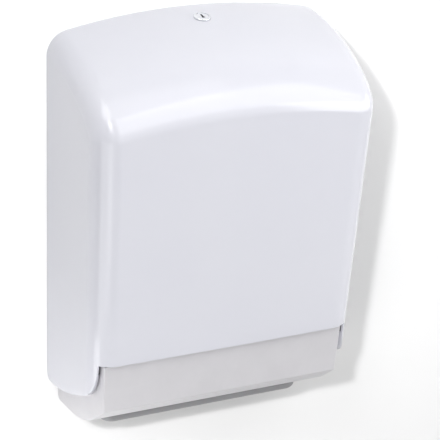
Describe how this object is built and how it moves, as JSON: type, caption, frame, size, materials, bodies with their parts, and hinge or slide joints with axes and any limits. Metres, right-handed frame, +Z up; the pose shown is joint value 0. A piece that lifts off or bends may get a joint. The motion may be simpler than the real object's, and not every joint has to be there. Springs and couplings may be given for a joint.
{
  "type": "folded paper towel dispenser",
  "caption": "Wall-mounted folded paper towel dispenser with a rounded hood that swings down from a lower tray, a rimmed outlet underneath and a key lock on top.",
  "frame": {"origin": "middle of the four wall screw slots, on the back plate's face against the wall", "axes": "+X to the right seen from the front, +Y into the wall, +Z up; the hood's front looks along -Y"},
  "size_m": [0.2906, 0.136, 0.405],
  "materials": {
    "white_shell": "glossy moulded shell, faintly cool white",
    "grey_body": "satin light grey moulding",
    "sheet": "light powder coat on pressed sheet",
    "zinc": "zinc plated",
    "bright": "polished plating",
    "spring": "spring steel",
    "rubber": "moulded rubber",
    "bush": "natural acetal",
    "brass": "stamped brass"
  },
  "bodies": {
    "housing": {"back_plate": "sheet", "tray": "grey_body", "outlet_rim": "grey_body", "stop_pads": "rubber", "tray_screws": "zinc", "towel_guide_left": "sheet", "towel_guide_right": "sheet", "guide_screws": "zinc", "keeper_bracket": "zinc", "keeper_screws": "zinc", "hood_spring_left": "spring", "hood_spring_right": "spring", "spring_rivets": "zinc", "hood_buffers": "rubber", "hinge_pin_left": "zinc", "hinge_pin_right": "zinc", "hinge_clips": "spring"},
    "cover": {"hood": "white_shell", "hinge_bush_left": "bush", "hinge_bush_right": "bush", "lock_barrel": "bright", "lock_nut": "zinc", "lock_washer": "zinc"},
    "lock": {"lock_plug": "bright", "lock_wafers": "brass", "lock_cam": "zinc", "cam_washer": "zinc", "cam_screw": "zinc"}
  },
  "joints": [
    {"name": "hood_hinge", "type": "hinge", "parent": "housing", "child": "cover", "pos_m": [0, -0.032, -0.171], "axis": [1, 0, 0], "range_deg": [0, 95]},
    {"name": "lock_turn", "type": "hinge", "parent": "cover", "child": "lock", "pos_m": [0, -0.033, 0.18673], "axis": [0, -0.1805, 0.9836], "range_deg": [0, 90]}
  ]
}
